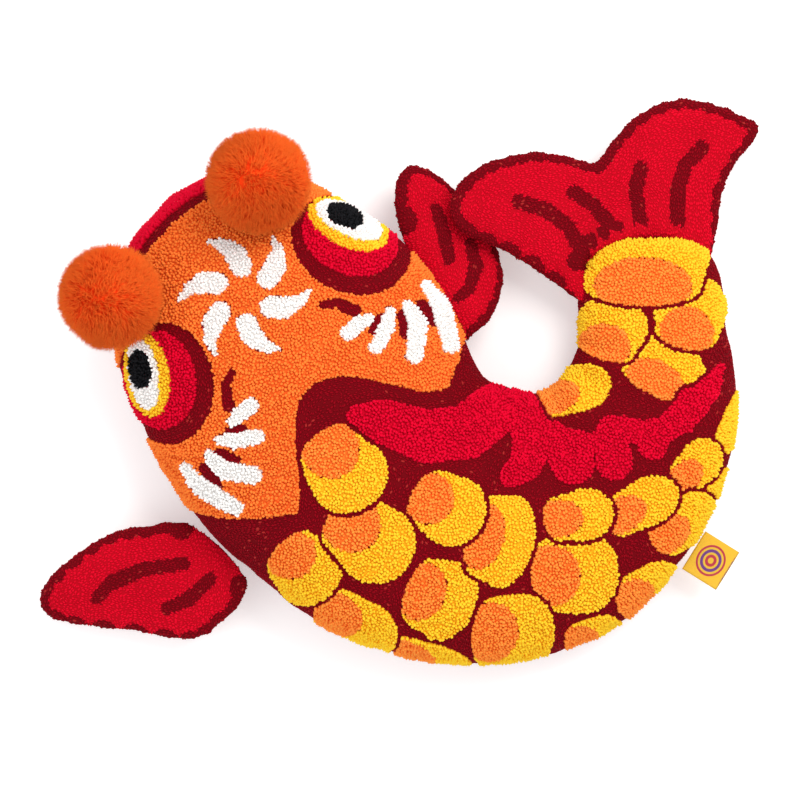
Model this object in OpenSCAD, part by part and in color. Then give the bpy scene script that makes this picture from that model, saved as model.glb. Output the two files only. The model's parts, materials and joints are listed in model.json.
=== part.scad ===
// Stuffed carp cushion, curled into a C, lying on its back panel

/* [Body] */
// Thickness of the cushion at its fattest
body_h = 120; // [100:5:140]
// Height of the side seam as a share of the thickness
seam_share = 0.42; // [0.38:0.01:0.46]
// Thickness of the face and back fabric
panel_t = 1.8; // [1.5:0.1:2.5]
// Height of the loop pile
pile_t = 3; // [2:0.5:4]
// How far the scales fill their places
scale_size = 1.1; // [0.9:0.05:1.15]

/* [Head] */
// Middle of the head, across and along
head_at = [-120, 65]; // [-130:1:130]
// Turn of the head
head_turn = 37; // [35:1:39]
// Radius of the arc at the back of the lip
lip_r = 132; // [131:0.5:134]
// Length of one flower petal
petal_l = 50; // [44:1:54]

/* [Fins and tail] */
// Thickness of the padded fins
fin_t = 18; // [14:1:20]
// Thickness of the padded tail
tail_t = 18; // [14:1:20]
// Angle at which the left fin droops to the floor
left_droop = 13; // [10:1:15]
// Angle at which the right fin droops to the floor
right_droop = 24; // [22:1:26]
// Sideways lean of the tail, which lies on the right fin
tail_lean = 10; // [9:1:12]

/* [Trim] */
// Diameter of the fur balls
ball_d = 78; // [70:1:80]
// Diameter of the tie in each ball
tie_d = 3; // [2:0.5:4]
// Length of the label that stands out of the seam
label_l = 32; // [26:1:36]
// Width of the label along the seam
label_w = 35; // [30:1:40]

/* [Hidden] */
$fn = 16;

// Gap left between a pile and the panel, and between two piles
gap = 0.3;
// Points on one curve between two of its stations
steps = 2;
// Angle between two points round a body section
arc_step = 18;
// Share of the half section where the underside leaves the floor
floor_share = 1.25;

// Stations from snout to tail root: middle x, y, turn of the section, half width, share of body_h
stations = [
    [-180, 145, 37, 5, 0.3], [-175, 140, 37, 40, 0.5], [-170, 130, 37, 60, 0.68],
    [-150, 105, 36, 90, 0.85], [-135, 80, 34, 108, 0.93], [-105, 45, 31, 125, 1],
    [-75, -5, 30, 131, 1], [-48, -52, 32, 126, 0.98], [-22, -80, 41, 121, 0.95],
    [10, -100, 54, 120, 0.93], [45, -114, 66, 116, 0.9], [82, -118, 78, 110, 0.88],
    [120, -112, 92, 105, 0.85], [155, -94, 106, 98, 0.82], [185, -56, 123, 88, 0.78],
    [202, -16, 142, 76, 0.72], [204, 22, 158, 68, 0.66], [200, 55, 169, 61, 0.6],
    [199, 85, 178, 56, 0.52], [199, 105, 180, 42, 0.45], [199, 118, 180, 8, 0.3]];

// Each scale: station along the body, share of the half width towards the inner side, length, width
scales = [
    [7.4, -0.05, 62, 56], [8.7, -0.3, 66, 56], [9.6, 0.1, 54, 50], [10.9, -0.05, 48, 66],
    [8.3, -0.7, 50, 50], [9.3, -0.85, 62, 42], [10.2, -0.5, 50, 58], [10.4, -0.95, 66, 26],
    [11.4, -0.75, 58, 60], [12.5, 0, 50, 36], [12.3, -0.4, 62, 60], [12.5, -0.95, 44, 30],
    [13.6, -0.3, 58, 34], [13.3, -0.9, 52, 38], [14, -0.75, 54, 36], [14.6, -0.6, 42, 30],
    [14.6, -0.95, 42, 20], [15.5, -0.95, 56, 20], [18.3, 0.15, 62, 96], [17.1, -0.45, 54, 54],
    [16.1, 0.6, 46, 48], [15.7, 0, 44, 60], [13.3, 0.85, 54, 32]];
// Narrower scales have no orange centre
plain_scale_w = 22;
// Ground left between two scales, and between a scale and the fin along the back
scale_gap = 4;

// Fin and tail outlines run anticlockwise, seen from above
// Fin on the head's left: outline, middle and root line
left_outline = [
    [-172, -115], [-200, -114], [-230, -120], [-262, -140], [-288, -165], [-289, -188],
    [-262, -197], [-212, -202], [-165, -208], [-140, -192], [-122, -165]];
left_middle = [-190, -160];
left_root = [[-172, -107], [-118, -160]];
left_root_z = 46;

// Fin on the head's right, which reaches under the tail
right_outline = [
    [54, 42], [62, 34], [78, 55], [87, 85], [76, 122], [48, 155], [24, 172], [5, 172], [-4, 152], [2, 128]];
right_middle = [42, 100];
right_root = [[-2, 122], [52, 38]];
right_root_z = 50;

// Tail with two lobes
tail_outline = [
    [46, 114], [80, 100], [118, 76], [141, 50], [200, 60], [255, 75], [257, 120], [259, 150], [272, 176],
    [291, 200], [278, 212], [250, 223], [221, 226], [190, 214], [166, 190], [154, 173], [134, 178],
    [106, 182], [80, 178], [55, 168], [36, 148], [33, 130]];
tail_middle = [165, 120];
tail_pivot = [199, 85, 28];
// Half width of the body at the tail, and how far its round end passes the pivot
body_end = [59, 34];

// Stripes stitched on the fins and tail, as chains of x, y, half width
left_stripes = [
    [[-240, -172, 5], [-228, -160, 6], [-200, -148, 6], [-168, -143, 5]],
    [[-184, -180, 5], [-166, -172, 6], [-148, -155, 5]]];
right_stripes = [[[28, 134, 5], [34, 112, 6], [36, 94, 5]], [[55, 108, 5], [59, 90, 6], [52, 70, 5], [42, 62, 4]]];
tail_stripes_at = [
    [[90, 140, 6], [112, 134, 6], [130, 120, 6], [144, 96, 6]],
    [[134, 148, 6], [150, 138, 6], [162, 124, 6]],
    [[188, 167, 6], [184, 150, 6], [188, 124, 6]],
    [[238, 184, 6], [224, 170, 6], [218, 150, 6], [218, 122, 6]]];

// Fin along the back with six fingers, as chains of x, y, half width
dorsal = [
    [[-34, -27, 7], [-12, -32, 17], [20, -44, 20], [52, -40, 21], [72, -24, 20]],
    [[94, -18, 12], [103, -46, 16], [98, -66, 12], [86, -74, 9]],
    [[118, -44, 12], [134, -64, 17]],
    [[164, -40, 12], [166, -64, 14]],
    [[196, -40, 10], [196, -50, 12]],
    [[226, -16, 10], [220, -32, 10]],
    [[104, -42, 10], [150, -50, 8], [174, -38, 10], [200, -43, 9], [224, -24, 12], [240, -8, 9], [252, 12, 2]]];

// In the head's own frame, +x outwards over the cheek and +y to the snout
petal = [[petal_l, 2, 1.5], [42, -7, 5], [30, -11, 8.5], [20, -10, 8.5]];
eye_turn = -62;
gill_strokes = [
    [[66, -72, 4], [58, -71, 6], [46, -71, 6]],
    [[82, -77, 4], [74, -85, 6], [57, -93, 6]],
    [[96, -81, 4], [94, -98, 7], [77, -115, 7]],
    [[116, -77, 4], [117, -96, 7], [104, -126, 7]]];
gill_dark_strokes = [
    [[43, -42, 3], [53, -47, 4], [61, -61, 5]],
    [[72, -78, 5], [64, -81, 5]],
    [[88, -86, 5], [82, -98, 5]],
    [[105, -88, 5], [105, -104, 5]]];
// Width of the dark groove between the lip and the face pile
lip_groove = 8;
// Edge of the face pile against the collar, from the right cheek round to the left one
collar_edge = [
    [56, 20], [44, -2], [22, -9], [-8, -3], [-40, 3], [-64, -2], [-78, -18],
    [-81, -48], [-77, -88], [-86, -120], [-104, -138], [-128, -142], [-150, -132]];

// Fur balls: where each tie leaves the face, its lean outwards and the way it leans
right_ball_at = [-116, 130, 99];
right_ball_lean = [34, 70];
left_ball_at = [-196, 74, 96];
left_ball_lean = [42, 202];
// Clear length of tie between face and ball
tie_gap = 2.5;
knot_d = 8;

// Thickness of the fin and tail covers, and the gap between tail and body
cover_t = 1.2;
tail_gap = 5;
// Half the gap between a face cover and its back cover, inside the seam
seam_cut = 0.25;

// Seam point where the label leaves, and the way it points
label_at = [232, -134, 38];
label_turn = -32;
label_t = 1.6;

function spline(a, b, c, d, t) =
    (2 * b + (c - a) * t + (2 * a - 5 * b + 4 * c - d) * t * t + (3 * b - a - 3 * c + d) * t * t * t) / 2;
function closed_curve(p, n) = [
    for (i = [0:len(p) - 1], k = [0:n - 1])
        spline(p[(i + len(p) - 1) % len(p)], p[i], p[(i + 1) % len(p)], p[(i + 2) % len(p)], k / n)];
function open_curve(p, n) = [
    for (i = [0:len(p) - 2], k = [0:n - 1])
        spline(p[max(i - 1, 0)], p[i], p[i + 1], p[min(i + 2, len(p) - 1)], k / n),
    p[len(p) - 1]];

// One point on the body's skin, grown outwards; angle 0 to 180 is the face, 180 to 360 the back
function skin_point(s, angle, grow) =
    let (h = s[4] * body_h, seam = h * seam_share, r = (s[3] + grow) * cos(angle))
    let (face = seam + (h - seam + grow) * sin(angle), back = seam * (1 + floor_share * sin(angle)))
    [s[0] + r * cos(s[2]), s[1] + r * sin(s[2]), angle <= 180 ? face : max(-grow, back)];
function arc_points(s, angles, grow) = [for (angle = angles) skin_point(s, angle, grow)];
function angles_between(a, b) = [for (angle = [a:arc_step:b]) angle];

// Triangles over one end ring: a fan of its own points, or a strip across a skin's two sides
function end_faces(n, strip) = strip
    ? [for (i = [0:n / 2 - 2], t = [[i, i + 1, n - 2 - i], [i, n - 2 - i, n - 1 - i]]) t]
    : [[for (k = [0:n - 1]) k]];
function reversed(face) = [for (k = [len(face) - 1:-1:0]) face[k]];

// A solid through a list of closed rings, with both ends closed. A skin's inner half is split the other
// way, so that the facets on its two sides, and on the skins above and below it, are parallel.
module loft(rings, strip = false) {
    n = len(rings[0]);
    m = len(rings);
    split = strip ? n / 2 : n;
    polyhedron(
        points = [for (ring = rings, p = ring) p],
        faces = concat(
            end_faces(n, strip),
            [for (face = end_faces(n, strip)) [for (k = reversed(face)) (m - 1) * n + k]],
            [for (i = [0:m - 2], k = [0:n - 1]) let (j = (k + 1) % n)
                [i * n + k, (i + 1) * n + k, k < split ? (i + 1) * n + j : i * n + j]],
            [for (i = [0:m - 2], k = [0:n - 1]) let (j = (k + 1) % n)
                [k < split ? i * n + k : (i + 1) * n + k, (i + 1) * n + j, i * n + j]]),
        convexity = 8);
}

body_curve = open_curve(stations, steps);

// The embroidery stops half a step above the seam
pile_angles = concat([arc_step / 2], angles_between(arc_step, 180 - arc_step), [180 - arc_step / 2]);

// A skin between two growths of the body, over the given angles of its section
module skin(angles, low, high) {
    loft([for (s = body_curve) concat(
        arc_points(s, angles, high), arc_points(s, reversed(angles), low))], strip = true);
}

// A flat outline puffed into a pad with a thin sewn edge
module pad(outline, middle, thick, inset) {
    edge = closed_curve(outline, 2);
    levels = [for (a = [-80, -55, -30, 0, 30, 55, 80]) [cos(a) * (1 - inset / 100), sin(a) * (thick / 2 - inset)]];
    loft([for (l = levels) [for (p = edge) let (q = middle + (p - middle) * (l[0] * 0.45 + 0.55) * (1 - inset / 100))
        [q[0], q[1], l[1]]]]);
}

module dot(p) {
    translate([p[0], p[1]])
        circle(p[2]);
}

module stroke(chain, grow = 0) {
    for (i = [0:len(chain) - 2])
        hull() {
            dot(chain[i] + [0, 0, grow]);
            dot(chain[i + 1] + [0, 0, grow]);
        }
}

module strokes(chains, grow = 0) {
    for (chain = chains)
        stroke(chain, grow);
}

// Children's plan outline, cut out of the pile layer that lies on the front panel
module on_face() {
    resize([0, 0, 0])
        intersection() {
            linear_extrude(body_h * 2)
                children();
            skin(pile_angles, gap, pile_t);
        }
}

module in_head() {
    translate(head_at)
        rotate(head_turn)
            children();
}

module flower(grow = 0) {
    for (k = [0:5])
        rotate(60 * k + 25)
            stroke(petal, grow);
}

module ellipse(a, b, turn) {
    rotate(turn)
        scale([a, b])
            circle(1, $fn = 28);
}

// The eye's nested outlines on the right cheek, as middle x, y, half length, half width
eye_socket = [90, -17, 48, 39];
eye_patch_oval = [92, -12, 38, 29];
eye_ring_oval = [97, -3, 33, 18];
eye_white_oval = [99, -1, 28, 12];
eye_pupil_oval = [99, 4, 15, 9];

module eye_shape(part, grow = 0) {
    translate([part[0], part[1]])
        ellipse(part[2] + grow, part[3] + grow, eye_turn);
}

// A place on the body's plan, and the section there: along counts stations, across runs from -1 to 1
function section_at(along) =
    let (i = floor(along))
        spline(stations[i - 1], stations[i], stations[i + 1], stations[i + 2], along - i);

module on_body(along, across) {
    s = section_at(along);
    translate([s[0] + across * s[3] * cos(s[2]), s[1] + across * s[3] * sin(s[2])])
        rotate(s[2] - 90)
            children();
}

module oval(length, width) {
    scale([length / 2, width / 2])
        circle(1, $fn = 20);
}

// A scale is widest towards its tail end and narrows to the head end
module scale_shape(s) {
    on_body(s[0], s[1])
        hull() {
            translate([s[2] * scale_size * 0.1, 0])
                oval(s[2] * scale_size * 0.8, s[3] * scale_size);
            translate([-s[2] * scale_size * 0.28, 0])
                oval(s[2] * scale_size * 0.44, s[3] * scale_size * 0.85);
        }
}

// Each scale is cut back from the ones before it in the list, which lie over it
module scale_outline(i) {
    difference() {
        scale_shape(scales[i]);
        for (j = [0:1:i - 1])
            offset(r = scale_gap)
                scale_shape(scales[j]);
        strokes(dorsal, scale_gap);
        offset(r = scale_gap)
            face_area();
    }
}

// The orange centre sits at a scale's head end
module scale_centre(s, grow = 0) {
    on_body(s[0], s[1])
        translate([-s[2] * scale_size * 0.27, 0])
            oval(s[2] * scale_size * 0.66 + 2 * grow, s[3] * scale_size * 0.72 + 2 * grow);
}

// Area that the orange face pile fills, from the groove behind the lip to the collar
module face_area() {
    difference() {
        in_head()
            circle(lip_r + 40, $fn = 60);
        in_head()
            difference() {
                translate([-200, 50])
                    square([400, 400]);
                translate([0, -45])
                    circle(lip_r - lip_groove, $fn = 64);
            }
        polygon(concat(open_curve(collar_edge, 3), [[-240, -400], [400, -400], [400, 60]]));
    }
}

module front_panel() {
    color("#7e0010")
        skin(angles_between(0, 180), -panel_t, 0);
}

module back_panel() {
    color("#8c1020")
        skin(angles_between(180, 360), -panel_t, 0);
}

module body_fill() {
    color("white")
        loft([for (i = [2:len(body_curve) - 3])
            arc_points(body_curve[i], angles_between(0, 360 - arc_step), -panel_t - gap)]);
}

module head_pile() {
    color("#ff7a2a")
        on_face()
            difference() {
                face_area();
                in_head() {
                    flower(gap);
                    strokes(gill_strokes, gap);
                    strokes(gill_dark_strokes, gap);
                    eye_shape(eye_socket);
                    mirror([1, 0]) {
                        strokes(gill_strokes, gap);
                        strokes(gill_dark_strokes, gap);
                        eye_shape(eye_socket);
                    }
                }
            }
}

module lip_pile() {
    color("#cc0022")
        on_face()
            in_head()
                difference() {
                    translate([-60, 50])
                        square([120, 80]);
                    translate([0, -45])
                        circle(lip_r, $fn = 64);
                }
}

module flower_pile() {
    color("#f7f3f2")
        on_face()
            in_head()
                flower();
}

// Children on the right cheek, or mirrored to the left
module on_cheek(left) {
    in_head()
        mirror([left ? 1 : 0, 0])
            children();
}

module eye_patch(left) {
    color("#cc0022")
        on_face()
            on_cheek(left)
                difference() {
                    eye_shape(eye_patch_oval);
                    eye_shape(eye_ring_oval, gap);
                }
}

module eye_ring(left) {
    color("#ffc020")
        on_face()
            on_cheek(left)
                difference() {
                    eye_shape(eye_ring_oval);
                    eye_shape(eye_white_oval, gap);
                }
}

module eye_white(left) {
    color("#f7f3f2")
        on_face()
            on_cheek(left)
                difference() {
                    eye_shape(eye_white_oval);
                    eye_shape(eye_pupil_oval, gap);
                }
}

module eye_pupil(left) {
    color("#0a0a0c")
        on_face()
            on_cheek(left)
                eye_shape(eye_pupil_oval);
}

module gill_pile() {
    color("#f7f3f2")
        on_face()
            in_head() {
                strokes(gill_strokes);
                mirror([1, 0])
                    strokes(gill_strokes);
            }
}

module gill_shadow() {
    color("#6a000c")
        on_face()
            in_head() {
                difference() {
                    strokes(gill_dark_strokes);
                    strokes(gill_strokes, gap);
                }
                mirror([1, 0])
                    difference() {
                        strokes(gill_dark_strokes);
                        strokes(gill_strokes, gap);
                    }
            }
}

module dorsal_pile() {
    color("#d2002d")
        on_face()
            strokes(dorsal);
}

module scale_pile() {
    color("#ffc020")
        on_face()
            for (i = [0:len(scales) - 1])
                difference() {
                    scale_outline(i);
                    if (scales[i][3] > plain_scale_w)
                        scale_centre(scales[i], gap);
                }
}

module scale_centre_pile() {
    color("#f57a28")
        on_face()
            for (i = [0:len(scales) - 1])
                if (scales[i][3] > plain_scale_w)
                    intersection() {
                        scale_outline(i);
                        scale_centre(scales[i]);
                    }
}

// Turns a flat fin about its root line, which lies at the height z
module drooped(root, angle, z) {
    run = root[1] - root[0];
    turn = atan2(run[1], run[0]);
    translate([root[0][0], root[0][1], z])
        rotate(turn)
            rotate([angle, 0, 0])
                rotate(-turn)
                    translate([-root[0][0], -root[0][1], 0])
                        children();
}

module left_fin_frame() {
    drooped(left_root, left_droop, left_root_z)
        children();
}

module right_fin_frame() {
    drooped(right_root, -right_droop, right_root_z)
        children();
}

module tail_frame() {
    translate(tail_pivot)
        rotate([0, tail_lean, 0])
            translate([-tail_pivot[0], -tail_pivot[1], 0])
                children();
}

// One fabric half of a pad: side is 1 for the face and -1 for the back
module pad_cover(outline, middle, thick, side) {
    resize([0, 0, 0])
        difference() {
            pad(outline, middle, thick, 0);
            pad(outline, middle, thick, cover_t);
            translate([-500, -500, side > 0 ? seam_cut - 1000 : -seam_cut])
                cube(1000);
        }
}

module stripes_on(chains, thick) {
    resize([0, 0, 0])
        translate([0, 0, thick / 2 + gap])
            linear_extrude(1.2)
                strokes(chains);
}

module left_fin_face() {
    color("#cc0022")
        left_fin_frame()
            pad_cover(left_outline, left_middle, fin_t, 1);
}

module left_fin_back() {
    color("#a00018")
        left_fin_frame()
            pad_cover(left_outline, left_middle, fin_t, -1);
}

module left_fin_wadding() {
    color("white")
        left_fin_frame()
            pad(left_outline, left_middle, fin_t, cover_t + 0.6);
}

module left_fin_stripes() {
    color("#7e0010")
        left_fin_frame()
            stripes_on(left_stripes, fin_t);
}

module right_fin_face() {
    color("#cc0022")
        right_fin_frame()
            pad_cover(right_outline, right_middle, fin_t, 1);
}

module right_fin_back() {
    color("#a00018")
        right_fin_frame()
            pad_cover(right_outline, right_middle, fin_t, -1);
}

module right_fin_wadding() {
    color("white")
        right_fin_frame()
            pad(right_outline, right_middle, fin_t, cover_t + 0.6);
}

module right_fin_stripes() {
    color("#7e0010")
        right_fin_frame()
            stripes_on(right_stripes, fin_t);
}

// Column round the body's end that the tail stays out of
module body_end_column(space) {
    linear_extrude(body_h * 2, center = true) {
        translate([tail_pivot[0], tail_pivot[1]])
            ellipse(body_end[0] + space, body_end[1] + space, 0);
        translate([tail_pivot[0] - body_end[0] - space, 0])
            square([2 * (body_end[0] + space), tail_pivot[1]]);
    }
}

// The tail's pad, shrunk by inset all round
module tail_pad(inset) {
    difference() {
        pad(tail_outline, tail_middle, tail_t, inset);
        body_end_column(tail_gap + inset);
    }
}

module tail_cover(side) {
    tail_frame()
        resize([0, 0, 0])
            difference() {
                tail_pad(0);
                tail_pad(cover_t);
                translate([-500, -500, side > 0 ? seam_cut - 1000 : -seam_cut])
                    cube(1000);
            }
}

module tail_face() {
    color("#cc0022")
        tail_cover(1);
}

module tail_back() {
    color("#a00018")
        tail_cover(-1);
}

module tail_wadding() {
    color("white")
        tail_frame()
            resize([0, 0, 0])
                tail_pad(cover_t + 0.6);
}

module tail_stripes() {
    color("#7e0010")
        tail_frame()
            resize([0, 0, 0])
                difference() {
                    stripes_on(tail_stripes_at, tail_t);
                    body_end_column(tail_gap);
                }
}

module ball_frame(at, lean) {
    translate(at)
        rotate([0, 0, lean[1]])
            rotate([0, lean[0], 0])
                children();
}

module fur_ball(at, lean) {
    r = ball_d / 2;
    ball_frame(at, lean)
        translate([0, 0, tie_gap + r])
            difference() {
                sphere(r, $fn = 48);
                sphere(knot_d / 2 + gap, $fn = 32);
                translate([0, 0, -r - 1])
                    cylinder(h = r, d = tie_d + 1);
            }
}

module ball_tie(at, lean) {
    r = ball_d / 2;
    ball_frame(at, lean) {
        cylinder(h = tie_gap + r, d = tie_d);
        translate([0, 0, tie_gap + r])
            sphere(knot_d / 2, $fn = 32);
    }
}

module right_ball() {
    color("#ff5a1e")
        fur_ball(right_ball_at, right_ball_lean);
}

module right_tie() {
    color("#a01010")
        ball_tie(right_ball_at, right_ball_lean);
}

module left_ball() {
    color("#ff5a1e")
        fur_ball(left_ball_at, left_ball_lean);
}

module left_tie() {
    color("#a01010")
        ball_tie(left_ball_at, left_ball_lean);
}

module side_label() {
    color("#ffc81e")
        translate(label_at)
            rotate(label_turn)
                difference() {
                    translate([0, -label_w / 2, -label_t / 2])
                        cube([label_l, label_w, label_t]);
                    translate([-1, -label_w / 2 - 1, -gap])
                        cube([label_l - 1, label_w + 2, 2 * gap]);
                }
}

front_panel();
back_panel();
body_fill();
head_pile();
lip_pile();
flower_pile();
eye_patch(false);  // right_eye_patch
eye_ring(false);  // right_eye_ring
eye_white(false);  // right_eye_white
eye_pupil(false);  // right_eye_pupil
eye_patch(true);  // left_eye_patch
eye_ring(true);  // left_eye_ring
eye_white(true);  // left_eye_white
eye_pupil(true);  // left_eye_pupil
gill_pile();
gill_shadow();
dorsal_pile();
scale_pile();
scale_centre_pile();
left_fin_face();
left_fin_back();
left_fin_wadding();
left_fin_stripes();
right_fin_face();
right_fin_back();
right_fin_wadding();
right_fin_stripes();
tail_face();
tail_back();
tail_wadding();
tail_stripes();
right_ball();
right_tie();
left_ball();
left_tie();
side_label();
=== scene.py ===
import json
import math
import bmesh
import bpy
import numpy as np
from mathutils import Matrix, Vector, kdtree
from mathutils.bvhtree import BVHTree


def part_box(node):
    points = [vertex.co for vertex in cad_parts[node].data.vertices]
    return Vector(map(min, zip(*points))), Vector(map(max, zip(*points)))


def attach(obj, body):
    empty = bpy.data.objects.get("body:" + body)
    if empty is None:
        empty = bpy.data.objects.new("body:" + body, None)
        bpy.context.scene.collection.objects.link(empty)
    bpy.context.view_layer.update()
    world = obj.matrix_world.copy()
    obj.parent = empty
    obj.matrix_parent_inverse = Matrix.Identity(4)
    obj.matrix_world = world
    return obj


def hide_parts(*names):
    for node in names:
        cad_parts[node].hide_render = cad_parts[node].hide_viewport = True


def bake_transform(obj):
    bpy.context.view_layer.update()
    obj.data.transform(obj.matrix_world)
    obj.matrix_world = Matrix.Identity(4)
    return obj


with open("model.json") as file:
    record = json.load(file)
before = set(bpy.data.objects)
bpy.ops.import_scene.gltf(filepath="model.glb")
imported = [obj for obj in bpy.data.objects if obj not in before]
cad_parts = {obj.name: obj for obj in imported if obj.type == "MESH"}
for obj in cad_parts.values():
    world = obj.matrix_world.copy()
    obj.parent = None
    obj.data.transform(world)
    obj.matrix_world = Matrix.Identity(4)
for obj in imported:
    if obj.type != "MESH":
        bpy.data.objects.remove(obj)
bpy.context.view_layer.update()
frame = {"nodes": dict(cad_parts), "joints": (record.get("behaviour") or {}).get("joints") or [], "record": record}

nodes = frame["nodes"]

# --- Camera, floor and light ---
# The cushion lies flat and is seen from straight above through a long lens.
# A large soft light stands at the upper right, with a weaker one opposite and a pale floor.
view_width = 0.64
camera_height = 3.0
camera_back = 0.0155
sensor = 0.036
camera = bpy.data.objects.new("camera", bpy.data.cameras.new("camera"))
camera.data.sensor_width = sensor * 1000
camera.data.lens = camera_height * sensor / view_width * 1000
camera.location = (0, -camera_back, camera_height)
bpy.context.scene.collection.objects.link(camera)
bpy.context.scene.camera = camera
bpy.context.scene.view_settings.view_transform = "Standard"


def add_softbox(name, place, size, watts, colour):
    light = bpy.data.lights.new(name, "AREA")
    light.size = size
    light.energy = watts
    light.color = colour
    lamp = bpy.data.objects.new(name, light)
    lamp.location = place
    lamp.rotation_euler = (-Vector(place)).to_track_quat("-Z", "Y").to_euler()
    bpy.context.scene.collection.objects.link(lamp)


add_softbox("key_light", (0.8, 1.0, 1.9), 1.2, 28, (1.0, 0.98, 0.95))
add_softbox("fill_light", (-1.3, -0.6, 1.6), 1.6, 8, (0.96, 0.98, 1.0))
world = bpy.data.worlds.new("studio")
world.use_nodes = True
world.node_tree.nodes["Background"].inputs["Color"].default_value = (1, 1, 1, 1)
world.node_tree.nodes["Background"].inputs["Strength"].default_value = 0.78
bpy.context.scene.world = world

floor_mesh = bpy.data.meshes.new("floor")
floor_edge = 4.0
floor_mesh.from_pydata([(x, y, -0.0004) for x, y in
                        ((-floor_edge, -floor_edge), (floor_edge, -floor_edge),
                         (floor_edge, floor_edge), (-floor_edge, floor_edge))], [], [(0, 1, 2, 3)])
floor = bpy.data.objects.new("floor", floor_mesh)
bpy.context.scene.collection.objects.link(floor)
floor_paint = bpy.data.materials.new("white_floor")
floor_paint.use_nodes = True
floor_paint.node_tree.nodes["Principled BSDF"].inputs["Base Color"].default_value = (0.93, 0.93, 0.93, 1)
floor_paint.node_tree.nodes["Principled BSDF"].inputs["Roughness"].default_value = 0.8
floor_paint.node_tree.nodes["Principled BSDF"].inputs["Emission Color"].default_value = (1, 1, 1, 1)
floor_paint.node_tree.nodes["Principled BSDF"].inputs["Emission Strength"].default_value = 0.35
floor_mesh.materials.append(floor_paint)


# --- Body cushion ---
# Two fabric panels sewn face to face, turned out and stuffed with fibre until they crown.
# The fabric creases where the C is tightest, and the underside is pressed flat by its own weight.
body_voxel = 0.0046
puff_cap = 0.005
puff_frames = 16
crease_depth = 0.0055
crease_reach = 0.05
crease_count = 11


def joined_copy(name, node_names):
    made = bmesh.new()
    for node_name in node_names:
        made.from_mesh(nodes[node_name].data)
    bmesh.ops.remove_doubles(made, verts=made.verts, dist=1e-5)
    mesh = bpy.data.meshes.new(name)
    made.to_mesh(mesh)
    made.free()
    piece = bpy.data.objects.new(name, mesh)
    bpy.context.scene.collection.objects.link(piece)
    return piece


def apply_modifiers(piece):
    seen = piece.evaluated_get(bpy.context.evaluated_depsgraph_get())
    mesh = bpy.data.meshes.new_from_object(seen)
    piece.modifiers.clear()
    piece.data = mesh
    return piece


def keep_largest_part(piece):
    made = bmesh.new()
    made.from_mesh(piece.data)
    unseen = set(made.verts)
    parts = []
    while unseen:
        front = [unseen.pop()]
        part = list(front)
        while front:
            near = [e.other_vert(v) for v in front for e in v.link_edges]
            front = [v for v in set(near) if v in unseen]
            unseen.difference_update(front)
            part.extend(front)
        parts.append(part)
    biggest = max(parts, key=len)
    for part in parts:
        if part is not biggest:
            bmesh.ops.delete(made, geom=part, context="VERTS")
    made.to_mesh(piece.data)
    made.free()


def remesh_soft(piece, voxel, passes):
    remesh = piece.modifiers.new("remesh", "REMESH")
    remesh.mode = "VOXEL"
    remesh.voxel_size = voxel
    smooth = piece.modifiers.new("smooth", "SMOOTH")
    smooth.factor = 0.5
    smooth.iterations = passes
    apply_modifiers(piece)
    keep_largest_part(piece)


def places_of(mesh):
    places = np.zeros(len(mesh.vertices) * 3)
    mesh.vertices.foreach_get("co", places)
    return places.reshape(-1, 3)


def put_places(mesh, places):
    mesh.vertices.foreach_set("co", places.ravel())
    mesh.update()


def puff_up(piece, pressure, frames, cap, pinned):
    group = piece.vertex_groups.new(name="held")
    group.add([int(i) for i in np.flatnonzero(pinned)], 1.0, "REPLACE")
    cloth = piece.modifiers.new("cloth", "CLOTH")
    cloth.settings.use_pressure = True
    cloth.settings.uniform_pressure_force = pressure
    cloth.settings.effector_weights.gravity = 0
    cloth.settings.vertex_group_mass = "held"
    start = places_of(piece.data)
    for frame_number in range(1, frames + 1):
        bpy.context.scene.frame_set(frame_number)
    seen = piece.evaluated_get(bpy.context.evaluated_depsgraph_get())
    moved = places_of(seen.to_mesh()) - start
    seen.to_mesh_clear()
    piece.modifiers.clear()
    piece.vertex_groups.clear()
    bpy.context.scene.frame_set(1)
    far = np.linalg.norm(moved, axis=1, keepdims=True)
    put_places(piece.data, start + moved * np.minimum(1, cap / np.maximum(far, 1e-9)))


def subdivide_soft(piece, levels=1):
    layer = piece.modifiers.new("subdivide", "SUBSURF")
    layer.levels = levels
    layer.render_levels = levels
    apply_modifiers(piece)


cushion = joined_copy("body_cushion", ["front_panel", "back_panel", "body_fill"])
remesh_soft(cushion, body_voxel, 10)
on_floor = places_of(cushion.data)[:, 2] < 0.012
puff_up(cushion, 4.0, puff_frames, puff_cap, on_floor)

gap_low, gap_high = (np.array(corner) for corner in
                     frame["record"]["physics"]["openings"][0]["box_m"])
curl_centre = (gap_low + gap_high) / 2
inner_radius = 0.052
body_places = places_of(cushion.data)
from_curl = body_places[:, :2] - curl_centre[:2]
curl_angle = np.arctan2(from_curl[:, 1], from_curl[:, 0])
edge_distance = np.hypot(*from_curl.T) - inner_radius
crease = np.sin(curl_angle * crease_count + 0.9 * np.sin(curl_angle * 3))
fade = np.clip(1 - np.abs(edge_distance) / crease_reach, 0, 1) ** 1.5
above_seam = np.clip((body_places[:, 2] - 0.03) / 0.03, 0, 1)
lower_half = np.clip(-np.sin(curl_angle) + 0.35, 0, 1)
body_places[:, 2] += crease_depth * crease * fade * above_seam * lower_half
body_places[:, 2] = np.maximum(body_places[:, 2], 0.0002)
put_places(cushion.data, body_places)
subdivide_soft(cushion)


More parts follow.
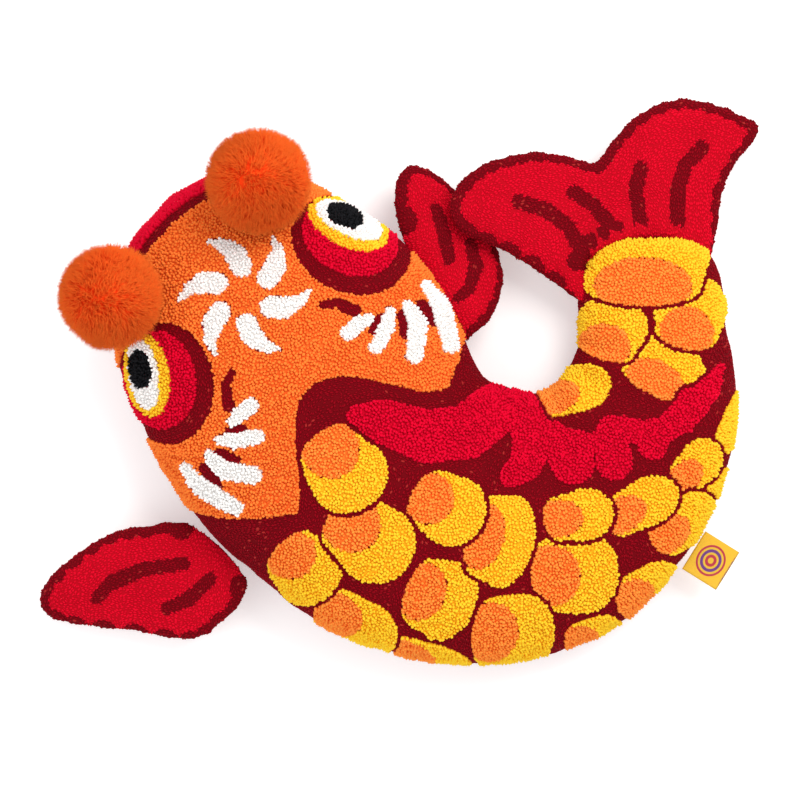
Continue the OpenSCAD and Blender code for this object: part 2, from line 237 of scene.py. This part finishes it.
# --- Thread and fabric materials ---
# Every visible surface is yarn or cloth, so one group gives fibre grain to them all.
# Loops are darker at the root than at the tip, a painted shade for the shadow down among the loops, and each loop
# takes its own random tone.
def add_fibre_group():
    group = bpy.data.node_groups.new("fibre_grain", "ShaderNodeTree")
    for name, kind, value in (("Grain Size", "NodeSocketFloat", 900.0),
                              ("Shade Spread", "NodeSocketFloat", 0.1)):
        socket = group.interface.new_socket(name, in_out="INPUT", socket_type=kind)
        socket.default_value = value
    group.interface.new_socket("Height", in_out="OUTPUT", socket_type="NodeSocketFloat")
    group.interface.new_socket("Shade", in_out="OUTPUT", socket_type="NodeSocketFloat")
    made, links = group.nodes, group.links
    given, put_out = made.new("NodeGroupInput"), made.new("NodeGroupOutput")
    where = made.new("ShaderNodeTexCoord")
    fine = made.new("ShaderNodeTexNoise")
    fine.inputs["Detail"].default_value = 3
    broad = made.new("ShaderNodeTexNoise")
    broad.inputs["Scale"].default_value = 38
    links.new(where.outputs["Object"], fine.inputs["Vector"])
    links.new(where.outputs["Object"], broad.inputs["Vector"])
    links.new(given.outputs["Grain Size"], fine.inputs["Scale"])
    total = made.new("ShaderNodeMath")
    total.operation = "ADD"
    links.new(fine.outputs["Fac"], total.inputs[0])
    links.new(broad.outputs["Fac"], total.inputs[1])
    centred = made.new("ShaderNodeMath")
    centred.operation = "SUBTRACT"
    centred.inputs[1].default_value = 1.0
    links.new(total.outputs[0], centred.inputs[0])
    spread = made.new("ShaderNodeMath")
    spread.operation = "MULTIPLY"
    links.new(centred.outputs[0], spread.inputs[0])
    links.new(given.outputs["Shade Spread"], spread.inputs[1])
    links.new(fine.outputs["Fac"], put_out.inputs["Height"])
    links.new(spread.outputs[0], put_out.inputs["Shade"])
    return group


fibre_grain = add_fibre_group()


def add_yarn(name, deep, light, fleck=None, sheen=0.12, grain=900.0, loops=True):
    material = bpy.data.materials.new(name)
    material.use_nodes = True
    made, links = material.node_tree.nodes, material.node_tree.links
    shader = made["Principled BSDF"]
    shader.inputs["Roughness"].default_value = 0.88
    shader.inputs["Specular IOR Level"].default_value = 0.08
    shader.inputs["Sheen Weight"].default_value = sheen
    shader.inputs["Sheen Roughness"].default_value = 0.5
    shader.inputs["Sheen Tint"].default_value = (*light, 1)
    grain_group = made.new("ShaderNodeGroup")
    grain_group.node_tree = fibre_grain
    grain_group.inputs["Grain Size"].default_value = grain
    grain_group.inputs["Shade Spread"].default_value = 0.5
    ramp = made.new("ShaderNodeMix")
    ramp.data_type = "RGBA"
    ramp.inputs[6].default_value = (*deep, 1)
    ramp.inputs[7].default_value = (*light, 1)
    add = made.new("ShaderNodeMath")
    add.operation = "ADD"
    add.use_clamp = True
    links.new(grain_group.outputs["Shade"], add.inputs[0])
    add.inputs[1].default_value = 0.55
    # With loops, the tip value runs from root to tip and is added to the colour ramp: painted shade that darkens
    # each loop toward its root.
    if loops:
        tip = made.new("ShaderNodeAttribute")
        tip.attribute_name = "tip"
        tone = made.new("ShaderNodeAttribute")
        tone.attribute_name = "tone"
        both = made.new("ShaderNodeMath")
        both.operation = "MULTIPLY_ADD"
        both.inputs[1].default_value = 0.4
        links.new(tone.outputs["Fac"], both.inputs[0])
        links.new(tip.outputs["Fac"], both.inputs[2])
        links.new(both.outputs[0], add.inputs[1])
    links.new(add.outputs[0], ramp.inputs[0])
    colour = ramp.outputs[2]
    if fleck:
        choose = made.new("ShaderNodeMath")
        choose.operation = "GREATER_THAN"
        choose.inputs[1].default_value = 0.98
        tone = made.new("ShaderNodeAttribute")
        tone.attribute_name = "tone"
        links.new(tone.outputs["Fac"], choose.inputs[0])
        flecked = made.new("ShaderNodeMix")
        flecked.data_type = "RGBA"
        flecked.inputs[7].default_value = (*fleck, 1)
        links.new(choose.outputs[0], flecked.inputs[0])
        links.new(colour, flecked.inputs[6])
        colour = flecked.outputs[2]
    links.new(colour, shader.inputs["Base Color"])
    bump = made.new("ShaderNodeBump")
    bump.inputs["Strength"].default_value = 0.35
    bump.inputs["Distance"].default_value = 0.0006
    links.new(grain_group.outputs["Height"], bump.inputs["Height"])
    links.new(bump.outputs["Normal"], shader.inputs["Normal"])
    return material


yarns = {
    "orange": ((0.80, 0.105, 0.012), (1.0, 0.25, 0.04)),
    "crimson": ((0.44, 0.0, 0.010), (0.78, 0.001, 0.032)),
    "white": ((0.84, 0.81, 0.79), (1.0, 0.98, 0.96)),
    "yellow": ((0.95, 0.42, 0.005), (1.0, 0.66, 0.03)),
    "black": ((0.001, 0.001, 0.0015), (0.010, 0.010, 0.012)),
    "scale orange": ((0.92, 0.16, 0.014), (1.0, 0.32, 0.05)),
}
# These loop yarns, and the stitch yarns below, are painted darker toward each loop's root as shade among the
# loops; the backing yarns are not.
loop_yarn = {name: add_yarn(name.replace(" ", "_") + "_loops", *pair)
             for name, pair in yarns.items()}
backing = {name: add_yarn(name.replace(" ", "_") + "_backing", *pair, loops=False)
           for name, pair in yarns.items()}
maroon_stitch = add_yarn("maroon_stitch", (0.12, 0.0, 0.003), (0.27, 0.001, 0.008),
                         fleck=(0.38, 0.02, 0.02))
crimson_stitch = add_yarn("crimson_stitch", (0.44, 0.0, 0.008), (0.76, 0.002, 0.022))
maroon_cloth = add_yarn("maroon_cloth", (0.10, 0.0, 0.002), (0.20, 0.001, 0.006), loops=False)
crimson_cloth = add_yarn("crimson_cloth", (0.36, 0.0, 0.006), (0.58, 0.002, 0.014), loops=False)
back_cloth = add_yarn("back_cloth", (0.12, 0.0, 0.004), (0.30, 0.006, 0.014), loops=False, grain=1500.0)


# --- Embroidery on the body ---
# Loop pile is punched through the front panel one colour at a time.
# The ground between the patches is filled with rows of flat stitches that follow their edges.
piles = [
    ("head_pile", "orange"), ("lip_pile", "crimson"), ("flower_pile", "white"),
    ("right_eye_patch", "crimson"), ("right_eye_ring", "yellow"), ("right_eye_white", "white"),
    ("right_eye_pupil", "black"), ("left_eye_patch", "crimson"), ("left_eye_ring", "yellow"),
    ("left_eye_white", "white"), ("left_eye_pupil", "black"), ("gill_pile", "white"),
    ("dorsal_pile", "crimson"), ("scale_centre_pile", "scale orange"), ("scale_pile", "yellow"),
]
loop_spacing = 0.0019
loop_size = (0.0032, 0.0026, 0.0034)
stitch_size = (0.0031, 0.0016, 0.0009)
stitch_spacing = 0.0026
row_pitch = 0.0016


def tree_of(mesh):
    return BVHTree.FromPolygons([v.co for v in mesh.vertices], [p.vertices for p in mesh.polygons])


def is_under(tree, place):
    return tree.ray_cast(Vector((place[0], place[1], 1)), Vector((0, 0, -1)))[0] is not None


def face_samples(mesh, wanted, tries, rng):
    """Random points on the wanted four-sided faces, with their normals."""
    corners = places_of(mesh)[np.array([list(p.vertices) for p in mesh.polygons])][wanted]
    normals = np.array([p.normal for p in mesh.polygons])[wanted]
    u, v = rng.random((2, tries, len(corners), 1))
    low = corners[:, 0] * (1 - u) + corners[:, 1] * u
    high = corners[:, 3] * (1 - u) + corners[:, 2] * u
    return (low * (1 - v) + high * v).reshape(-1, 3), np.tile(normals, (tries, 1))


def spread_out(places, apart):
    """Indices of points kept so that no two are closer than the given distance."""
    taken, kept = {}, []
    for i, place in enumerate(places.tolist()):
        x, y, z = place
        cx, cy, cz = int(x // apart), int(y // apart), int(z // apart)
        near = (q for dx in (-1, 0, 1) for dy in (-1, 0, 1) for dz in (-1, 0, 1)
                for q in taken.get((cx + dx, cy + dy, cz + dz), ()))
        if any((x - a) ** 2 + (y - b) ** 2 + (z - c) ** 2 < apart * apart for a, b, c in near):
            continue
        taken.setdefault((cx, cy, cz), []).append((x, y, z))
        kept.append(i)
    return np.array(kept)


def turn_of(normal, along):
    up = Vector(normal).normalized()
    side = Vector(along) - up * up.dot(Vector(along))
    if side.length < 1e-6:
        side = up.orthogonal()
    side.normalize()
    return Matrix((side, up.cross(side), up)).transposed().to_euler()


def add_unit_yarn(name, rings, sides, bend):
    """A tapered tuft of yarn of unit size, as rings of radius and height, with a root-to-tip value that the yarn
    materials turn into painted shade at the root.
    """
    places, faces = [], []
    for radius, height in rings:
        for side in range(sides):
            angle = math.tau * side / sides
            places.append((radius * math.cos(angle) + bend * height ** 2, radius * math.sin(angle), height))
    places.append((bend, 0, 1))
    for ring in range(len(rings) - 1):
        for side in range(sides):
            a, b = ring * sides + side, ring * sides + (side + 1) % sides
            faces.append((a, b, b + sides, a + sides))
    last = (len(rings) - 1) * sides
    faces.extend((last + side, last + (side + 1) % sides, len(places) - 1) for side in range(sides))
    mesh = bpy.data.meshes.new(name)
    mesh.from_pydata(places, [], faces)
    mesh.polygons.foreach_set("use_smooth", np.ones(len(faces), bool))
    # The tip value is the height along the tuft; the materials darken low heights as painted shade at the root.
    tip = mesh.attributes.new("tip", "FLOAT", "POINT")
    tip.data.foreach_set("value", np.array([place[2] for place in places], np.float32))
    piece = bpy.data.objects.new(name, mesh)
    bpy.context.scene.collection.objects.link(piece)
    return piece


def add_yarn_tree():
    """Geometry Nodes tree that stands one piece of yarn on each point and gives it a size and a shade."""
    tree = bpy.data.node_groups.new("placed_yarn", "GeometryNodeTree")
    for name, kind in (("Geometry", "Geometry"), ("Source", "Object"), ("Size", "Vector"), ("Smallest", "Float"),
                       ("Largest", "Float"), ("Seed", "Int"), ("Yarn", "Material")):
        tree.interface.new_socket(name, in_out="INPUT", socket_type="NodeSocket" + kind)
    tree.interface.new_socket("Geometry", in_out="OUTPUT", socket_type="NodeSocketGeometry")
    made, links = tree.nodes, tree.links
    given, put_out = made.new("NodeGroupInput"), made.new("NodeGroupOutput")
    source = made.new("GeometryNodeObjectInfo")
    links.new(given.outputs["Source"], source.inputs["Object"])
    vary = made.new("FunctionNodeRandomValue")
    vary.data_type = "FLOAT"
    links.new(given.outputs["Smallest"], vary.inputs[2])
    links.new(given.outputs["Largest"], vary.inputs[3])
    links.new(given.outputs["Seed"], vary.inputs["Seed"])
    scaled = made.new("ShaderNodeVectorMath")
    scaled.operation = "SCALE"
    links.new(given.outputs["Size"], scaled.inputs[0])
    links.new(vary.outputs[1], scaled.inputs["Scale"])
    turn = made.new("GeometryNodeInputNamedAttribute")
    turn.data_type = "FLOAT_VECTOR"
    turn.inputs["Name"].default_value = "turn"
    placed = made.new("GeometryNodeInstanceOnPoints")
    links.new(given.outputs["Geometry"], placed.inputs["Points"])
    links.new(source.outputs["Geometry"], placed.inputs["Instance"])
    links.new(turn.outputs["Attribute"], placed.inputs["Rotation"])
    links.new(scaled.outputs[0], placed.inputs["Scale"])
    shade = made.new("FunctionNodeRandomValue")
    shade.data_type = "FLOAT"
    links.new(given.outputs["Seed"], shade.inputs["Seed"])
    tone = made.new("GeometryNodeStoreNamedAttribute")
    tone.domain = "INSTANCE"
    tone.inputs["Name"].default_value = "tone"
    links.new(placed.outputs["Instances"], tone.inputs["Geometry"])
    links.new(shade.outputs[1], tone.inputs["Value"])
    real = made.new("GeometryNodeRealizeInstances")
    links.new(tone.outputs["Geometry"], real.inputs["Geometry"])
    coat = made.new("GeometryNodeSetMaterial")
    links.new(real.outputs["Geometry"], coat.inputs["Geometry"])
    links.new(given.outputs["Yarn"], coat.inputs["Material"])
    links.new(coat.outputs["Geometry"], put_out.inputs["Geometry"])
    return tree


yarn_tree = add_yarn_tree()
unit_loop = add_unit_yarn("unit_loop", [(0.5, -0.2), (0.47, 0.5)], 5, 0)


def place_yarn(name, source, places, turns, yarn, seed, size, smallest=0.8, largest=1.15):
    mesh = bpy.data.meshes.new(name)
    mesh.from_pydata([tuple(p) for p in places], [], [])
    turn = mesh.attributes.new("turn", "FLOAT_VECTOR", "POINT")
    turn.data.foreach_set("vector", np.array([tuple(t) for t in turns], np.float32).ravel())
    piece = bpy.data.objects.new(name, mesh)
    bpy.context.scene.collection.objects.link(piece)
    placed = piece.modifiers.new("yarn", "NODES")
    placed.node_group = yarn_tree
    values = {"Source": source, "Size": size, "Smallest": smallest, "Largest": largest,
              "Seed": seed, "Yarn": yarn}
    for item in yarn_tree.interface.items_tree:
        if item.in_out == "INPUT" and item.name in values:
            placed[item.identifier] = values[item.name]
    return apply_modifiers(piece)


def rows_of_stitches(places, normals, edge_points, spacing):
    """Keeps the points on rows a pitch apart from the nearest edge, one stitch apart along each row."""
    tree = kdtree.KDTree(len(edge_points))
    for i, point in enumerate(edge_points):
        tree.insert(point, i)
    tree.balance()
    taken, kept, turns = {}, [], []
    for place, normal in zip(places, normals):
        near = tree.find_n(place, 5)
        distance = near[0][2]
        row = math.floor(distance / row_pitch)
        if abs(distance / row_pitch - row - 0.5) > 0.3:
            continue
        cell = tuple(int(c // spacing) for c in place)
        close = [q for dx in (-1, 0, 1) for dy in (-1, 0, 1) for dz in (-1, 0, 1)
                 for q in taken.get((cell[0] + dx, cell[1] + dy, cell[2] + dz), ())]
        apart = [(np.linalg.norm(place - q), r) for q, r in close]
        if any(d < (spacing if r == row else row_pitch * 0.72) for d, r in apart):
            continue
        taken.setdefault(cell, []).append((place, row))
        outward = Vector(place) - sum((n[0] for n in near), Vector()) / len(near)
        kept.append(place)
        turns.append(turn_of(normal, Vector(normal).cross(outward)))
    return np.array(kept), turns


rng = np.random.default_rng(11)
pile_places, pile_faces, pile_of_face = [], [], []
for number, (name, _) in enumerate(piles):
    mesh = nodes[name].data
    pile_faces.extend([len(pile_places) + v for v in p.vertices] for p in mesh.polygons)
    pile_of_face.extend([number] * len(mesh.polygons))
    pile_places.extend(v.co.copy() for v in mesh.vertices)
pile_tree = BVHTree.FromPolygons(pile_places, pile_faces)


def pile_over(place, normal):
    if normal[2] < 0.05:
        return None
    face = pile_tree.ray_cast(Vector((place[0], place[1], 1)), Vector((0, 0, -1)))[2]
    return None if face is None else pile_of_face[face]


front_tree = tree_of(nodes["front_panel"].data)
back_tree = tree_of(nodes["back_panel"].data)
for material in [maroon_cloth, back_cloth] + [backing[name] for name in yarns]:
    cushion.data.materials.append(material)
yarn_index = {name: 2 + i for i, name in enumerate(yarns)}
face_material = np.zeros(len(cushion.data.polygons), np.int32)
for polygon in cushion.data.polygons:
    if front_tree.find_nearest(polygon.center)[3] >= back_tree.find_nearest(polygon.center)[3]:
        face_material[polygon.index] = 1
        continue
    over = pile_over(polygon.center, polygon.normal)
    if over is not None:
        face_material[polygon.index] = yarn_index[piles[over][1]]
cushion.data.polygons.foreach_set("material_index", face_material)
cushion.data.polygons.foreach_set("use_smooth", np.ones(len(face_material), bool))
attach(cushion, "body")
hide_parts("front_panel", "back_panel", "body_fill")

samples, sample_normals = face_samples(cushion.data, face_material != 1, 5, rng)
sample_pile = np.array([-1 if (n := pile_over(p, q)) is None else n
                        for p, q in zip(samples, sample_normals)])
in_pile = np.flatnonzero(sample_pile >= 0)
in_pile = in_pile[spread_out(samples[in_pile], loop_spacing)]
for number, (node_name, yarn) in enumerate(piles):
    chosen = in_pile[sample_pile[in_pile] == number]
    spins = rng.random(len(chosen)) * math.tau
    turns = [turn_of(sample_normals[i], (math.cos(a), math.sin(a), 0)) for i, a in zip(chosen, spins)]
    pile = place_yarn(node_name + "_loops", unit_loop, samples[chosen], turns,
                      loop_yarn[yarn], number, loop_size)
    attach(pile, "body")
    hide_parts(node_name)

on_ground = sample_pile < 0
ground_places, ground_turns = rows_of_stitches(
    samples[on_ground], sample_normals[on_ground], samples[in_pile], stitch_spacing)
ground = place_yarn("ground_stitches", unit_loop, ground_places, ground_turns, maroon_stitch, 40, stitch_size)
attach(ground, "body")
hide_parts("gill_shadow")

seam_places, seam_turns = [], []
face_beside = {}
for polygon in cushion.data.polygons:
    for key in polygon.edge_keys:
        face_beside.setdefault(key, []).append(polygon.index)
for (a, b), beside in face_beside.items():
    if len(beside) == 2 and (face_material[beside[0]] == 1) != (face_material[beside[1]] == 1):
        ends = [cushion.data.vertices[v].co for v in (a, b)]
        seam_places.append((ends[0] + ends[1]) / 2)
        out = sum((cushion.data.polygons[f].normal for f in beside), Vector())
        seam_turns.append(turn_of(out, ends[1] - ends[0]))
seam = place_yarn("side_seam", unit_loop, seam_places, seam_turns, maroon_stitch, 41, stitch_size)
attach(seam, "body")


# --- Fins and tail ---
# Each is a flat bag of the same stitched cloth, turned out, lightly stuffed and caught in the body's seam.
# A dark border and a few dark stripes are stitched through the crimson face and pull it in a little.
fin_voxel = 0.0034
border_width = 0.0105
stripe_sink = 0.0012
root_reach = 0.026
root_tuck = 0.008
root_clear = 0.0105
rim_slope = 0.3
body_cad = joined_copy("body_shell", ["front_panel", "back_panel"])
body_shell = tree_of(body_cad.data)
bpy.data.objects.remove(body_cad)


def rim_points(face_node, back_node):
    """Points of the seam between a fin's two covers, leaving out its root."""
    other = tree_of(nodes[back_node].data)
    return [v.co.copy() for v in nodes[face_node].data.vertices
            if other.find_nearest(v.co)[3] < 0.0012 and body_shell.find_nearest(v.co)[3] > root_clear]


def add_fin(name, seed, swell, root_lift, tuck):
    parts = [f"{name}_face", f"{name}_back", f"{name}_wadding"]
    fin = joined_copy(f"{name}_pad", parts)
    remesh_soft(fin, fin_voxel, 5)
    places = places_of(fin.data)
    for i, place in enumerate(places):
        distance = body_shell.find_nearest(Vector(place))[3]
        pull = max(0.0, 1 - distance / root_reach) ** 1.5
        place[2] += root_lift * pull * max(0.0, fin.data.vertices[i].normal.z)
        near, _, _, distance = body_shell.find_nearest(Vector(place))
        way = np.array(near) - place
        places[i] = place + way / max(distance, 1e-6) * (distance + tuck) * pull
    places[:, 2] = np.maximum(places[:, 2], 0.0006)
    put_places(fin.data, places)
    at_root = np.array([body_shell.find_nearest(Vector(p))[3] < 0.006 for p in places])
    puff_up(fin, swell, 8, 0.0025, at_root)
    subdivide_soft(fin)
    rim = rim_points(f"{name}_face", f"{name}_back")
    rim_tree = kdtree.KDTree(len(rim))
    for i, point in enumerate(rim):
        rim_tree.insert(point, i)
    rim_tree.balance()
    stripe_tree = tree_of(nodes[f"{name}_stripes"].data)
    normals = np.array([v.normal for v in fin.data.vertices])
    places = places_of(fin.data)
    for i, place in enumerate(places):
        if normals[i][2] > 0.2:
            edge = abs(rim_tree.find(Vector(place))[2] - border_width)
            sunk = max(0.0, 1 - edge / 0.003)
            if is_under(stripe_tree, place):
                sunk = max(sunk, 0.6)
            places[i] -= normals[i] * stripe_sink * sunk
    places[:, 2] = np.maximum(places[:, 2], 0.0004)
    put_places(fin.data, places)
    owner_dark = np.zeros(len(fin.data.polygons), bool)
    owner_top = np.zeros(len(fin.data.polygons), bool)
    off_rim = np.array([polygon.normal.z > rim_slope for polygon in fin.data.polygons])
    for polygon in fin.data.polygons:
        owner_top[polygon.index] = polygon.normal.z > 0.0
        owner_dark[polygon.index] = (rim_tree.find(polygon.center)[2] < border_width
                                     or is_under(stripe_tree, polygon.center))
    for material in (crimson_cloth, maroon_cloth, back_cloth):
        fin.data.materials.append(material)
    index = np.where(owner_top, np.where(owner_dark, 1, 0), 2).astype(np.int32)
    fin.data.polygons.foreach_set("material_index", index)
    fin.data.polygons.foreach_set("use_smooth", np.ones(len(index), bool))
    edges = [tuple(p) for p in rim]
    made = [fin]
    for tag, wanted, yarn in (("crimson", owner_top & ~owner_dark, crimson_stitch),
                              ("maroon", owner_top & owner_dark, maroon_stitch)):
        spots, spot_normals = face_samples(fin.data, wanted & off_rim, 6, rng)
        rows, turns = rows_of_stitches(spots, spot_normals, edges, stitch_spacing)
        made.append(place_yarn(f"{name}_{tag}_stitches", unit_loop, rows, turns, yarn, seed, stitch_size))
    return made


joint_of = {joint["child"]: joint for joint in frame["joints"]}
for seed, (name, fill, root_lift, tuck) in enumerate((("left_fin", 0.45, 0.004, root_tuck),
                                                      ("right_fin", 0.45, 0.004, root_tuck),
                                                      ("tail", 0.5, 0.02, 2 * root_tuck))):
    pad, crimson_rows, maroon_rows = add_fin(name, 60 + seed, 1.5, root_lift, tuck)
    hinge = joint_of[name]
    pivot = Vector(hinge["pos_m"])
    low, high = (Vector(corner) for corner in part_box(f"{name}_wadding"))
    outward = Vector(hinge["axis"]).cross(Vector((0, 0, 1))).normalized()
    if outward.dot((low + high) / 2 - pivot) < 0:
        outward.negate()
    for piece in (pad, crimson_rows, maroon_rows):
        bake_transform(piece)
    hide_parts(f"{name}_face", f"{name}_back", f"{name}_wadding")
    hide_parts(f"{name}_stripes")


# --- Fur pom-poms ---
# Each is a ball of long faux fur gathered over fibre and hung on a short knotted tie.
# The fur falls into small locks, so the strands near each other lean to one tip.
strand_count = 21000
lock_count = 260
fur_root = 0.0295
fur_sweep = 0.55
strand_length = 0.0128
strand_width = 0.0008
# The fur uses the loop colouring too, so each strand is painted darker at its root as shade among the strands.
fur_material = add_yarn("orange_fur", (0.95, 0.05, 0.004), (1.0, 0.17, 0.022), grain=400.0)
fur_base = add_yarn("orange_fur_backing", (0.95, 0.05, 0.004), (1.0, 0.10, 0.012), loops=False)
ply_radius = 0.0009
cord_turns = 9
cord_root = 0.007
tie_yarn = add_yarn("tie_cord", (0.15, 0.0, 0.002), (0.4, 0.01, 0.01), loops=False)


unit_strand = add_unit_yarn("unit_strand", [(0.5, 0), (0.4, 0.55)], 3, 4)


def even_directions(count):
    k = np.arange(count) + 0.5
    polar = np.arccos(1 - 2 * k / count)
    around = math.pi * (1 + 5 ** 0.5) * k
    return np.stack([np.cos(around) * np.sin(polar), np.sin(around) * np.sin(polar), np.cos(polar)], 1)


def add_cord(name, top, anchor):
    """A two-ply twisted cord from inside the ball, past its anchor and down into the face."""
    run = (anchor - top).normalized()
    length = (anchor - top).length + cord_root
    across = run.orthogonal().normalized()
    beside = run.cross(across)
    rings, sides = 60, 8
    places, faces = [], []
    for ply in range(2):
        first = len(places)
        for ring in range(rings + 1):
            twist = math.tau * (cord_turns * ring / rings + ply / 2)
            middle = top + run * length * ring / rings
            middle += (across * math.cos(twist) + beside * math.sin(twist)) * ply_radius * 0.8
            for side in range(sides):
                angle = math.tau * side / sides
                places.append(middle + (across * math.cos(angle) + beside * math.sin(angle)) * ply_radius)
        for ring in range(rings):
            for side in range(sides):
                a, b = first + ring * sides + side, first + ring * sides + (side + 1) % sides
                faces.append((a, b, b + sides, a + sides))
        faces.append([first + side for side in reversed(range(sides))])
        faces.append([first + rings * sides + side for side in range(sides)])
    mesh = bpy.data.meshes.new(name)
    mesh.from_pydata(places, [], faces)
    mesh.polygons.foreach_set("use_smooth", np.ones(len(faces), bool))
    mesh.materials.append(tie_yarn)
    cord = bpy.data.objects.new(name, mesh)
    bpy.context.scene.collection.objects.link(cord)
    return cord


for seed, side in enumerate(("right", "left")):
    low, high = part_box(f"{side}_ball")
    middle = np.array((low + high) / 2)
    ways = even_directions(strand_count) + rng.normal(0, 0.02, (strand_count, 3))
    ways /= np.linalg.norm(ways, axis=1, keepdims=True)
    locks = even_directions(lock_count) + rng.normal(0, 0.06, (lock_count, 3))
    locks /= np.linalg.norm(locks, axis=1, keepdims=True)
    lock_tree = kdtree.KDTree(lock_count)
    for i, lock in enumerate(locks):
        lock_tree.insert(lock, i)
    lock_tree.balance()
    turns = []
    for way in ways:
        lock = np.array(lock_tree.find(way)[0])
        sweep = np.cross(way, np.sin(4.1 * way[[1, 2, 0]] + seed)) * fur_sweep
        lean = way + (lock - way) * 1.3 + sweep + rng.normal(0, 0.08, 3)
        spin = rng.normal(0, 1, 3)
        turns.append(turn_of(lean, spin))
    fur = place_yarn(f"{side}_fur", unit_strand, middle + ways * fur_root, turns, fur_material, 80 + seed,
                     (strand_width, strand_width, strand_length), 0.72, 1.12)

    made = bmesh.new()
    bmesh.ops.create_icosphere(made, subdivisions=4, radius=fur_root + 0.004,
                               matrix=Matrix.Translation(Vector(middle)))
    for vertex in made.verts:
        out = (vertex.co - Vector(middle)).normalized()
        vertex.co += out * 0.001 * math.sin(out.x * 23) * math.sin(out.y * 19) * math.sin(out.z * 21)
    core_mesh = bpy.data.meshes.new(f"{side}_fur_backing")
    made.to_mesh(core_mesh)
    made.free()
    core_mesh.materials.append(fur_base)
    core_mesh.polygons.foreach_set("use_smooth", np.ones(len(core_mesh.polygons), bool))
    core = bpy.data.objects.new(f"{side}_fur_backing", core_mesh)
    bpy.context.scene.collection.objects.link(core)
    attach(core, f"{side}_pompom")
    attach(fur, f"{side}_pompom")
    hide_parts(f"{side}_ball")
    tie = add_cord(f"{side}_cord", Vector(middle), Vector(joint_of[f"{side}_pompom"]["pos_m"]))
    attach(tie, f"{side}_pompom")
    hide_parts(f"{side}_tie")
bpy.data.objects.remove(unit_strand)


# --- Side label ---
# A strip of woven tape folded in half and caught in the side seam.
# Its face carries a plain pattern of rings in place of any mark.
label_low, label_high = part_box("side_label")
label_hinge = joint_of["label"]
label_root = Vector(label_hinge["pos_m"])
label_along = Vector(label_hinge["axis"]).normalized()
label_out = label_along.cross(Vector((0, 0, 1))).normalized()
if label_out.dot((Vector(label_low) + Vector(label_high)) / 2 - label_root) < 0:
    label_out.negate()
tape_width = 0.035
tape_reach = 0.0315
tape_gap = 0.0006
tape_thickness = 0.0004


def add_tape_material():
    material = bpy.data.materials.new("woven_tape")
    material.use_nodes = True
    made, links = material.node_tree.nodes, material.node_tree.links
    shader = made["Principled BSDF"]
    shader.inputs["Roughness"].default_value = 0.6
    shader.inputs["Sheen Weight"].default_value = 0.2
    uv = made.new("ShaderNodeTexCoord")
    centre = made.new("ShaderNodeMapping")
    centre.inputs["Location"].default_value = (-0.5, -0.5, 0)
    links.new(uv.outputs["UV"], centre.inputs["Vector"])
    reach = made.new("ShaderNodeVectorMath")
    reach.operation = "LENGTH"
    links.new(centre.outputs[0], reach.inputs[0])
    rings = made.new("ShaderNodeValToRGB")
    rings.color_ramp.interpolation = "CONSTANT"
    stops = [(0.0, (0.9, 0.55, 0.02)), (0.07, (0.55, 0.02, 0.05)), (0.14, (0.9, 0.55, 0.02)),
             (0.19, (0.16, 0.03, 0.25)), (0.26, (0.9, 0.55, 0.02)), (0.31, (0.55, 0.02, 0.05)),
             (0.36, (1.0, 0.58, 0.015))]
    ramp = rings.color_ramp.elements
    ramp[0].position, ramp[0].color = stops[0][0], (*stops[0][1], 1)
    ramp[1].position, ramp[1].color = stops[-1][0], (*stops[-1][1], 1)
    for place, colour in stops[1:-1]:
        stop = ramp.new(place)
        stop.color = (*colour, 1)
    links.new(reach.outputs["Value"], rings.inputs["Fac"])
    weave = made.new("ShaderNodeTexWave")
    weave.inputs["Scale"].default_value = 38
    weave.inputs["Distortion"].default_value = 0.3
    links.new(uv.outputs["UV"], weave.inputs["Vector"])
    darker = made.new("ShaderNodeMix")
    darker.data_type = "RGBA"
    darker.blend_type = "MULTIPLY"
    darker.inputs[0].default_value = 0.25
    links.new(rings.outputs["Color"], darker.inputs[6])
    links.new(weave.outputs["Color"], darker.inputs[7])
    links.new(darker.outputs[2], shader.inputs["Base Color"])
    bump = made.new("ShaderNodeBump")
    bump.inputs["Strength"].default_value = 0.4
    bump.inputs["Distance"].default_value = 0.0003
    links.new(weave.outputs["Fac"], bump.inputs["Height"])
    links.new(bump.outputs["Normal"], shader.inputs["Normal"])
    return material


across, down = 18, 44
tape_places, tape_faces, tape_uv = [], [], []
for j in range(down + 1):
    t = j / down * 2
    leg = min(t, 2 - t)
    turned = 1 if t < 1 else -1
    lift = turned * tape_gap * min(1, (1 - leg) * 9 + 0.02)
    for i in range(across + 1):
        s = i / across
        bend = 0.0025 * leg ** 2 * (0.6 + 0.4 * math.sin(s * 3))
        place = label_root + label_along * (s - 0.5) * tape_width + label_out * leg * tape_reach
        tape_places.append(place + Vector((0, 0, lift + bend)))
for j in range(down):
    for i in range(across):
        a = j * (across + 1) + i
        tape_faces.append((a, a + 1, a + across + 2, a + across + 1))
        tape_uv.extend([(i / across, j / down * 2), ((i + 1) / across, j / down * 2),
                        ((i + 1) / across, (j + 1) / down * 2), (i / across, (j + 1) / down * 2)])
tape_mesh = bpy.data.meshes.new("folded_label")
tape_mesh.from_pydata(tape_places, [], tape_faces)
uv_layer = tape_mesh.uv_layers.new(name="UVMap")
uv_layer.data.foreach_set("uv", np.array([(u, v if v < 1 else v - 1) for u, v in tape_uv], np.float32).ravel())
tape_mesh.materials.append(add_tape_material())
tape_mesh.polygons.foreach_set("use_smooth", np.ones(len(tape_faces), bool))
tape = bpy.data.objects.new("folded_label", tape_mesh)
bpy.context.scene.collection.objects.link(tape)
wall = tape.modifiers.new("wall", "SOLIDIFY")
wall.thickness = tape_thickness
wall.offset = 1
apply_modifiers(tape)
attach(tape, "label")
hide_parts("side_label")

bpy.data.objects.remove(unit_loop)
